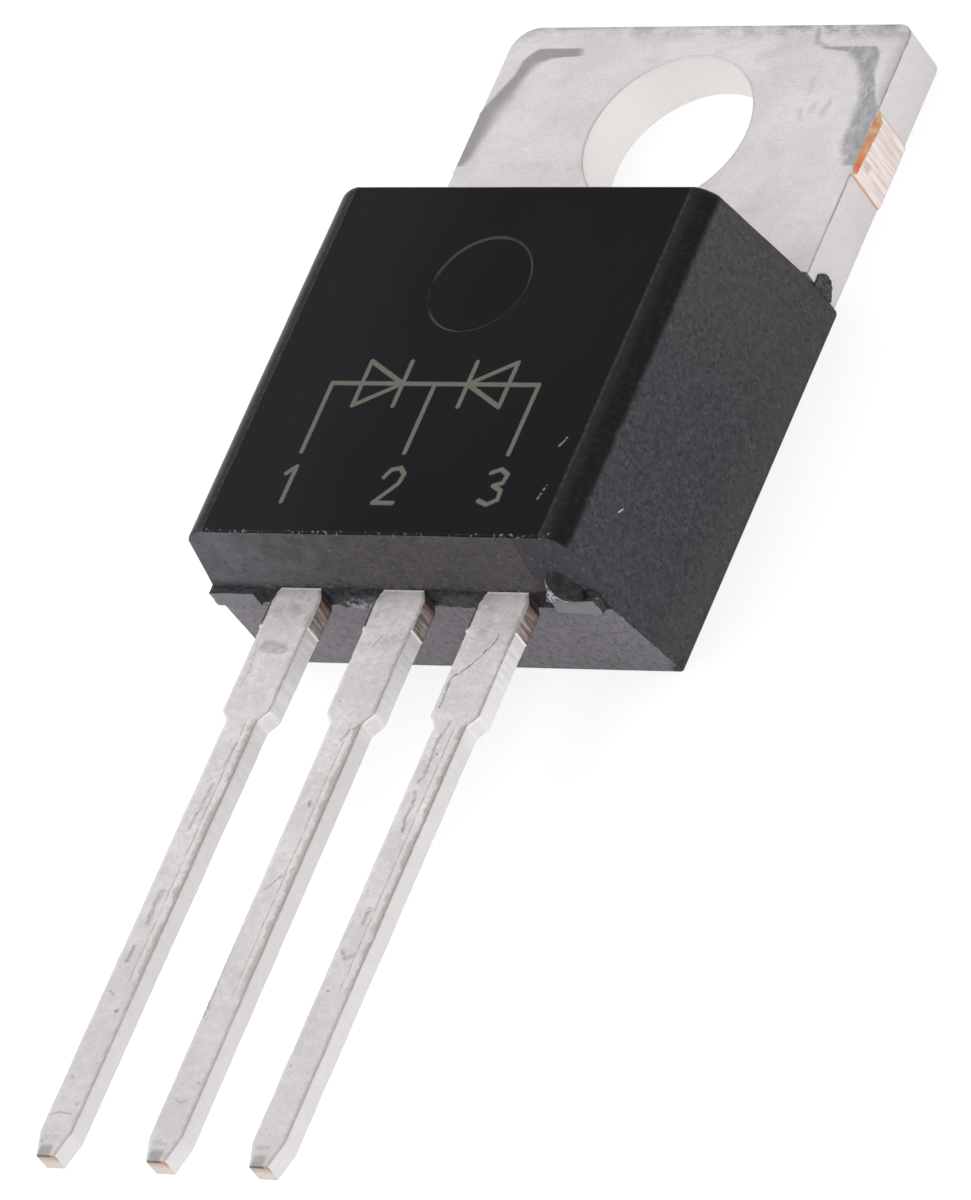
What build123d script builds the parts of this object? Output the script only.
from build123d import *
import os
from math import radians, tan

# Dual common-cathode rectifier in a flat moulded package, lying on its back.
# Origin: centre of the mounting hole on the back face. +Z runs up the hole to the marked front
# face, +Y to the tab's free end, and the three leads run out along -Y. Millimetres.

# Tab and die pad, stamped from the thick part of the strip
tab_thickness = 1.25
tab_above_hole = 2.75
tab_side_inset = 0.12
tab_left_corner_radius = 0.6
tab_right_corner_radius = 0.33
hole_diameter = 3.88
hole_rim_radius = 0.06
pad_side_cover = 0.85
pad_end_cover = 2.85

# Stubs where the tab was sheared from its neighbours in the strip
tie_bar_width = 1.63
tie_bar_below_hole = 0.24
tie_bar_proud = 0.05
tie_bar_break_depth = 0.24

# Moulding
body_below_hole = 3.55
body_length = 8.95
body_width = 10.1
body_height = 4.55
side_draft = 5.3
end_draft = 6.0
front_roll_width = 0.55
front_roll_drop = 0.33
tab_end_corner_radius = 0.18
lead_end_corner_radius = 0.05
ejector_diameter = 2.34
ejector_below_hole = 6.36
ejector_depth = 0.03

# Leads, stamped from the thin part of the strip
lead_pitch = 2.54
lead_plane = 2.46
lead_thickness = 0.44
lead_length = 13.65
lead_neck_width = 1.0
lead_neck_length = 0.26
dam_bar_width = 1.24
dam_bar_length = 0.7
wide_lead_width = 1.2
wide_lead_length = 2.06
shoulder_length = 0.22
thin_lead_width = 0.8
lead_edge_radius = 0.08
tip_length = 0.56
tip_width = 0.46
lead_drift = {"left": -0.04, "centre": 0.11, "right": 0.06}

# Inside the moulding: the stepped neck and the two bond posts
step_width = 1.5
step_foot = 0.35
step_run = 1.35
step_radius = 0.35
post_inner_gap = 0.5
post_side_cover = 0.95
post_depth = 1.35
post_cover = 0.62
post_corner_radius = 0.2

# Dies, their solder and the bond wires
die_size = 2.5
die_thickness = 0.3
die_to_pad_end = 2.75
solder_thickness = 0.05
solder_margin = 0.06
wire_diameter = 0.38
wire_sides = 8
wire_spacing = 0.9
wire_foot_width = 0.56
wire_foot_length = 0.9
wire_foot_height = 0.2
wire_foot_corner_radius = 0.14
wire_loop_height = 3.55
wire_loop_radius = 0.4
wire_rise = 1.3
wire_fall = 0.8

# Resin flash left where the leads were cut free
flash_root = 0.3
flash_reach = 0.2
flash_left_length = 1.1
flash_right_length = 1.2
flash_chamfer = 0.16
torn_flash_length = 0.7
torn_flash_reach = 0.17
thin_flash_reach = 0.1
flash_edge_share = 0.35
gate_lump_width = 0.96
gate_lump_height = 0.7
gate_lump_reach = 0.16
gate_lump_inset = 0.27
gate_heel_width = 0.33
gate_heel_height = 0.16
gate_heel_reach = 0.09

# The flake of resin on the tab's right side, its corners as shares of its length and height
flake_length = 0.36
flake_height = 0.66
flake_thickness = 0.09
flake_rise = 0.29
flake_corners = [(-0.5, 0.0), (0.0, 0.0), (0.9, 0.25), (1.0, 0.65), (0.7, 1.0), (-0.5, 1.0)]

# Places that follow from those sizes
lead_top = lead_plane + lead_thickness
body_end = -(body_below_hole + body_length)
half_tab = body_width / 2 - tab_side_inset
half_pad = body_width / 2 - pad_side_cover
pad_end = body_end + pad_end_cover
die_x, die_y = half_pad / 2, pad_end + die_to_pad_end
parting_y = body_end - lead_plane * tan(radians(end_draft))
exit_y = parting_y + lead_thickness * tan(radians(end_draft))
front_end_y = parting_y + (body_height - lead_plane) * tan(radians(end_draft))
front_top_y = -body_below_hole - (body_height - tab_thickness) * tan(radians(end_draft))
roll_z = body_height - front_roll_drop
die_base = tab_thickness + solder_thickness
die_top = die_base + die_thickness
tip_y = exit_y - lead_length
lead_centres = {"left": -lead_pitch, "centre": 0.0, "right": lead_pitch}

# How near two places lie when they count as one, and how far a drill runs past what it cuts
tolerance = 0.01
drill_overrun = 1.0


def half_width(z):
    """Half the moulding's width at a height: the side walls lean in towards the front."""
    return body_width / 2 - z * tan(radians(side_draft))


def block(x, y, z):
    """A box between two limits on each axis."""
    centre = [(low + high) / 2 for low, high in (x, y, z)]
    size = [high - low for low, high in (x, y, z)]
    return Pos(*centre) * Box(*size)


def side_prism(points, half):
    """A (y, z) outline extruded both ways along X."""
    return extrude(make_face(Plane.YZ * Polyline(*points, close=True)), half, both=True)


def plan_prism(points, low, high):
    """An (x, y) outline extruded up from one height to another."""
    return extrude(make_face(Plane.XY.offset(low) * Polyline(*points, close=True)), high - low)


def lead_outline(side):
    """Half widths down one lead: neck, sheared dam bar, wide part, shoulder, thin part and tip."""
    dam_top = exit_y - lead_neck_length
    dam_end = dam_top - dam_bar_length
    shoulder = dam_end - wide_lead_length
    stations = [
        (body_end + post_cover, lead_neck_width / 2),
        (exit_y, lead_neck_width / 2),
        (dam_top, dam_bar_width / 2),
        (dam_end, dam_bar_width / 2),
        (dam_end - (dam_bar_width - wide_lead_width), wide_lead_width / 2),
        (shoulder, wide_lead_width / 2),
        (shoulder - shoulder_length, thin_lead_width / 2),
        (tip_y + tip_length, thin_lead_width / 2),
        (tip_y, tip_width / 2),
    ]

    def centre(y):
        return lead_centres[side] + lead_drift[side] * max(0.0, exit_y - y) / lead_length

    right = [(centre(y) + half, y) for y, half in stations]
    left = [(centre(y) - half, y) for y, half in reversed(stations)]
    return right + left


def lead_blank(side):
    """One lead outside the moulding, its long edges rolled by the stamping."""
    blank = plan_prism(lead_outline(side), lead_plane, lead_top)
    dam_end = exit_y - lead_neck_length - dam_bar_length
    rolled = [edge for edge in blank.edges().filter_by(Axis.Z, reverse=True)
              if tip_y + tolerance < edge.center().Y < dam_end - tolerance]
    return fillet(rolled, lead_edge_radius)


def bond_post(side):
    """The widened end of an anode lead inside the moulding, where the wires land."""
    sign = 1 if side == "right" else -1
    inner = step_width / 2 + post_inner_gap
    outer = body_width / 2 - post_side_cover
    end = body_end + post_cover
    outline = [(sign * inner, end), (sign * outer, end),
               (sign * outer, end + post_depth), (sign * inner, end + post_depth)]
    post = plan_prism(outline, lead_plane, lead_top)
    return fillet(post.edges().filter_by(Axis.Z), post_corner_radius)


def anode_lead(side):
    return lead_blank(side) + bond_post(side)


def stepped_neck():
    """The strip that climbs from the pad's end to the lead plane, at one thickness all the way."""
    start = pad_end
    low = start - step_foot
    high = low - step_run
    rise = lead_top - tab_thickness
    length = (rise ** 2 + step_run ** 2) ** 0.5
    inset = lead_thickness * (length - step_run) / rise
    strip_back = tab_thickness - lead_thickness
    outline = [
        (start, strip_back), (low - inset, strip_back), (high - inset, lead_plane),
        (body_end + post_cover, lead_plane), (body_end + post_cover, lead_top),
        (high, lead_top), (low, tab_thickness), (start, tab_thickness),
    ]
    neck = side_prism(outline, step_width / 2)
    bends = [edge for edge in neck.edges().filter_by(Axis.X)
             if body_end + post_cover < edge.center().Y - tolerance and edge.center().Y + tolerance < start]
    return fillet(bends, step_radius)


def tie_bar_stub(sign):
    """A sheared stub on the tab's side, with a lens-shaped break along its front edge."""
    low = -tie_bar_below_hole - tie_bar_width / 2
    high = -tie_bar_below_hole + tie_bar_width / 2
    inner, outer = half_tab - tie_bar_width / 2, half_tab + tie_bar_proud
    stub = block(sorted((sign * inner, sign * outer)), (low, high), (0, tab_thickness))
    chord = tie_bar_width / 2
    radius = (chord ** 2 + tie_bar_break_depth ** 2) / (2 * tie_bar_break_depth)
    lens = Cylinder(radius, 2 * tie_bar_proud, rotation=(0, 90, 0))
    middle = tab_thickness - tie_bar_break_depth + radius
    return stub - Pos(sign * outer, -tie_bar_below_hole, middle) * lens


def cathode_frame():
    """Tab, pad, stepped neck and centre lead: one piece of copper in two thicknesses."""
    outline = [(-half_tab, tab_above_hole), (half_tab, tab_above_hole), (half_tab, -body_below_hole),
               (half_pad, -body_below_hole), (half_pad, pad_end), (-half_pad, pad_end),
               (-half_pad, -body_below_hole), (-half_tab, -body_below_hole)]
    plate = plan_prism(outline, 0, tab_thickness)
    for sign, radius in ((-1, tab_left_corner_radius), (1, tab_right_corner_radius)):
        corner = plate.edges().filter_by(Axis.Z).sort_by_distance((sign * half_tab, tab_above_hole))[0]
        plate = fillet(corner, radius)
    plate = plate + tie_bar_stub(1) + tie_bar_stub(-1)
    plate -= Cylinder(hole_diameter / 2, 2 * (tab_thickness + drill_overrun))
    rim = plate.edges().filter_by(GeomType.CIRCLE)
    rim = rim.filter_by(lambda edge: abs(edge.radius - hole_diameter / 2) < tolerance and edge.center().Z > 0)
    plate = fillet(rim, hole_rim_radius)
    return plate + stepped_neck() + lead_blank("centre")


def die_slab(sign, half, low, high):
    """A square slab on one half of the pad."""
    x = sorted((sign * die_x - half, sign * die_x + half))
    return block(x, (die_y - half, die_y + half), (low, high))


def die(sign):
    return die_slab(sign, die_size / 2, die_base, die_top)


def die_solder(sign):
    return die_slab(sign, die_size / 2 + solder_margin, tab_thickness, die_base)


def wire_foot(x, y, base):
    """The flattened wedge bond at a wire's end."""
    foot = block((x - wire_foot_width / 2, x + wire_foot_width / 2),
                 (y - wire_foot_length / 2, y + wire_foot_length / 2), (base, base + wire_foot_height))
    return fillet(foot.edges().filter_by(Axis.Z), wire_foot_corner_radius)


def bond_wire(x):
    """One loop of wire from a die's top over to its lead's post, its section an eight-sided round."""
    post_y = body_end + post_cover + post_depth / 2
    low, high = die_top + wire_diameter / 2, lead_top + wire_diameter / 2
    route = [
        (die_y, low),
        (die_y - wire_rise, wire_loop_height),
        (post_y + wire_fall, wire_loop_height),
        (post_y, high),
    ]
    path = FilletPolyline(*[(x, y, z) for y, z in route], radius=wire_loop_radius)
    section = Plane(path @ 0, z_dir=path % 0) * RegularPolygon(wire_diameter / 2, wire_sides)
    loop = sweep(section, path)
    return loop + wire_foot(x, die_y, die_top) + wire_foot(x, post_y, lead_top)


def moulding_blank():
    """The moulding's outer form: two drafted outlines crossed, with the long front edges rolled over."""
    lengthwise = side_prism([
        (-body_below_hole, 0), (-body_below_hole, tab_thickness), (front_top_y, body_height),
        (front_end_y, body_height), (parting_y, lead_plane), (body_end, 0)], body_width)
    flat = half_width(roll_z) - front_roll_width
    outline = Curve() + [
        Line((half_width(roll_z), roll_z), (half_width(0), 0)),
        Line((half_width(0), 0), (-half_width(0), 0)),
        Line((-half_width(0), 0), (-half_width(roll_z), roll_z)),
        TangentArc((-flat, body_height), (-half_width(roll_z), roll_z), tangent=(-1, 0)),
        Line((-flat, body_height), (flat, body_height)),
        TangentArc((flat, body_height), (half_width(roll_z), roll_z), tangent=(1, 0)),
    ]
    crosswise = extrude(make_face(Plane.XZ * outline), 2 * body_length + body_below_hole, both=True)
    blank = lengthwise & crosswise
    blank = fillet(corner_edges(blank, 1, tab_thickness), tab_end_corner_radius)
    blank = fillet(corner_edges(blank, -1, 0), lead_end_corner_radius)
    ejector = Pos(0, -ejector_below_hole, body_height) * Cylinder(ejector_diameter / 2, 2 * ejector_depth)
    return blank - ejector


def corner_edges(blank, end, above):
    """The moulding's upright corner edges at one end, above a height."""
    flat = half_width(roll_z) - front_roll_width
    middle = -body_below_hole - body_length / 2
    return [edge for edge in blank.edges()
            if abs(edge.center().X) > flat and above < edge.center().Z < body_height
            and (edge.center().Y - middle) * end > 0
            and edge.bounding_box().size.Y < edge.bounding_box().size.Z]


def flash():
    """Resin that filled the strip's openings round the leads, torn off when they were cut free."""
    wall = half_width(lead_plane)
    level = (lead_plane, lead_top)
    inside, outside = exit_y + flash_root, exit_y - flash_reach
    left_end, right_end = -wall + flash_left_length, wall - flash_right_length
    pieces = plan_prism([(-wall, inside), (-wall, outside), (left_end, outside),
                         (left_end + flash_chamfer, inside)], *level)
    pieces += plan_prism([(wall, inside), (wall - flash_chamfer, outside), (right_end, outside),
                          (right_end - flash_chamfer, inside)], *level)
    half_gap = (lead_pitch - lead_neck_width) / 2
    half_torn = torn_flash_length / 2
    for side, reach in ((-1, torn_flash_reach), (1, thin_flash_reach)):
        middle = side * lead_pitch / 2
        edge_y = exit_y - flash_edge_share * reach
        pieces += plan_prism([
            (middle - half_gap, inside), (middle - half_gap, edge_y),
            (middle - half_torn, exit_y - reach), (middle + half_torn, exit_y - reach),
            (middle + half_gap, edge_y), (middle + half_gap, inside)], *level)
    return pieces


def gate_lump():
    """The broken gate above the right-hand flash: a round-topped hump that slopes out to it, and a low heel."""
    top = lead_top + gate_lump_height
    wedge = side_prism([
        (exit_y - gate_lump_reach, lead_top), (exit_y + flash_root, lead_top),
        (exit_y + flash_root, top), (exit_y + gate_lump_height * tan(radians(end_draft)), top)], body_width)
    centre_x = half_width(lead_top) - gate_lump_inset - gate_lump_width / 2
    hump = extrude(Plane.XZ * Ellipse(gate_lump_width / 2, gate_lump_height), body_length, both=True)
    heel_top = lead_top + gate_heel_height
    heel = block((half_width(heel_top) - gate_heel_width, half_width(heel_top)),
                 (exit_y - gate_heel_reach, exit_y + flash_root), (lead_top, heel_top))
    return (wedge & Pos(centre_x, exit_y, lead_top) * hump) + heel


def side_flash():
    """The flake of resin that crept along the tab's right side."""
    corners = [(-body_below_hole + along * flake_length, flake_rise + up * flake_height)
               for along, up in flake_corners]
    return Pos(half_tab + flake_thickness / 2, 0, 0) * side_prism(corners, flake_thickness / 2)


def molded_body(inside):
    """The moulding, less everything it is moulded round."""
    return moulding_blank() + flash() + gate_lump() + side_flash() - inside


def main():
    nodes = {
        "cathode_frame": cathode_frame(),
        "anode_lead_left": anode_lead("left"),
        "anode_lead_right": anode_lead("right"),
    }
    for side, sign in (("left", -1), ("right", 1)):
        nodes[f"die_solder_{side}"] = die_solder(sign)
        nodes[f"schottky_die_{side}"] = die(sign)
        for place, offset in (("inner", -wire_spacing / 2), ("outer", wire_spacing / 2)):
            nodes[f"bond_wire_{side}_{place}"] = bond_wire(sign * (die_x + offset))
    nodes["molded_body"] = molded_body(list(nodes.values()))
    os.makedirs("parts", exist_ok=True)
    for name, shape in nodes.items():
        export_step(shape, f"parts/{name}.step")


main()
